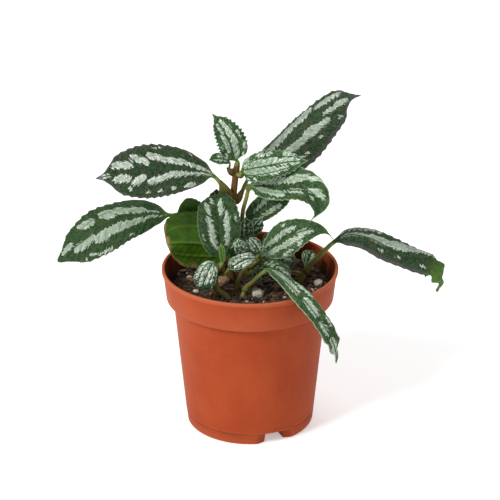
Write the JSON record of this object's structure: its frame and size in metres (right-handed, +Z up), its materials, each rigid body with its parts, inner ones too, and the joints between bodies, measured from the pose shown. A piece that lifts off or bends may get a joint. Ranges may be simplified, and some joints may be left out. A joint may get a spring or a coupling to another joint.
{
  "type": "potted foliage plant",
  "caption": "Soft-stemmed foliage plant with silver-banded toothed leaves, standing in a filled plastic nursery pot with a stepped rim and drainage notches.",
  "frame": {"origin": "on the pot's axis at the height of its feet", "axes": "+Z up along the pot's axis, +X to the right as the picture shows the plant, +Y away from the viewer"},
  "size_m": [0.1755, 0.0889, 0.1554],
  "materials": {
    "pot_plastic": "satin",
    "potting_mix": "matte",
    "perlite": "matte",
    "bark": "matte",
    "red_stem": "satin",
    "green_stem": "satin",
    "old_leaf": "satin",
    "young_leaf": "satin",
    "pale_leaf": "satin"
  },
  "bodies": {
    "root": {"bark_ball": "bark", "far_leaf_stub": "green_stem", "front_left_stem": "green_stem", "front_stem": "red_stem", "leaf_back_left": "old_leaf", "leaf_back_right": "old_leaf", "leaf_bud": "young_leaf", "leaf_centre": "old_leaf", "leaf_crown_left": "young_leaf", "leaf_crown_right": "young_leaf", "leaf_crown_small": "young_leaf", "leaf_curl_back": "young_leaf", "leaf_curl_front": "young_leaf", "leaf_far_right": "old_leaf", "leaf_front_left": "young_leaf", "leaf_front_small": "young_leaf", "leaf_inner_left": "old_leaf", "leaf_inner_right": "old_leaf", "leaf_inner_tip": "old_leaf", "leaf_low_left": "old_leaf", "leaf_mid_right": "old_leaf", "leaf_over_rim": "old_leaf", "leaf_pot_left": "pale_leaf", "leaf_shoot_left": "young_leaf", "leaf_shoot_right": "young_leaf", "leaf_top_left": "old_leaf", "leaf_top_right": "old_leaf", "leaf_under_front": "old_leaf", "leaf_under_left": "old_leaf", "leaf_under_middle": "old_leaf", "leaf_under_right": "old_leaf", "leaf_upper_right": "old_leaf", "main_stem": "red_stem", "perlite_front": "perlite", "perlite_left": "perlite", "perlite_left_front": "perlite", "perlite_right": "perlite", "perlite_right_small": "perlite", "pot": "pot_plastic", "rim_leaf_stub": "green_stem", "shoot_stem": "green_stem", "soil": "potting_mix"}
  },
  "joints": []
}
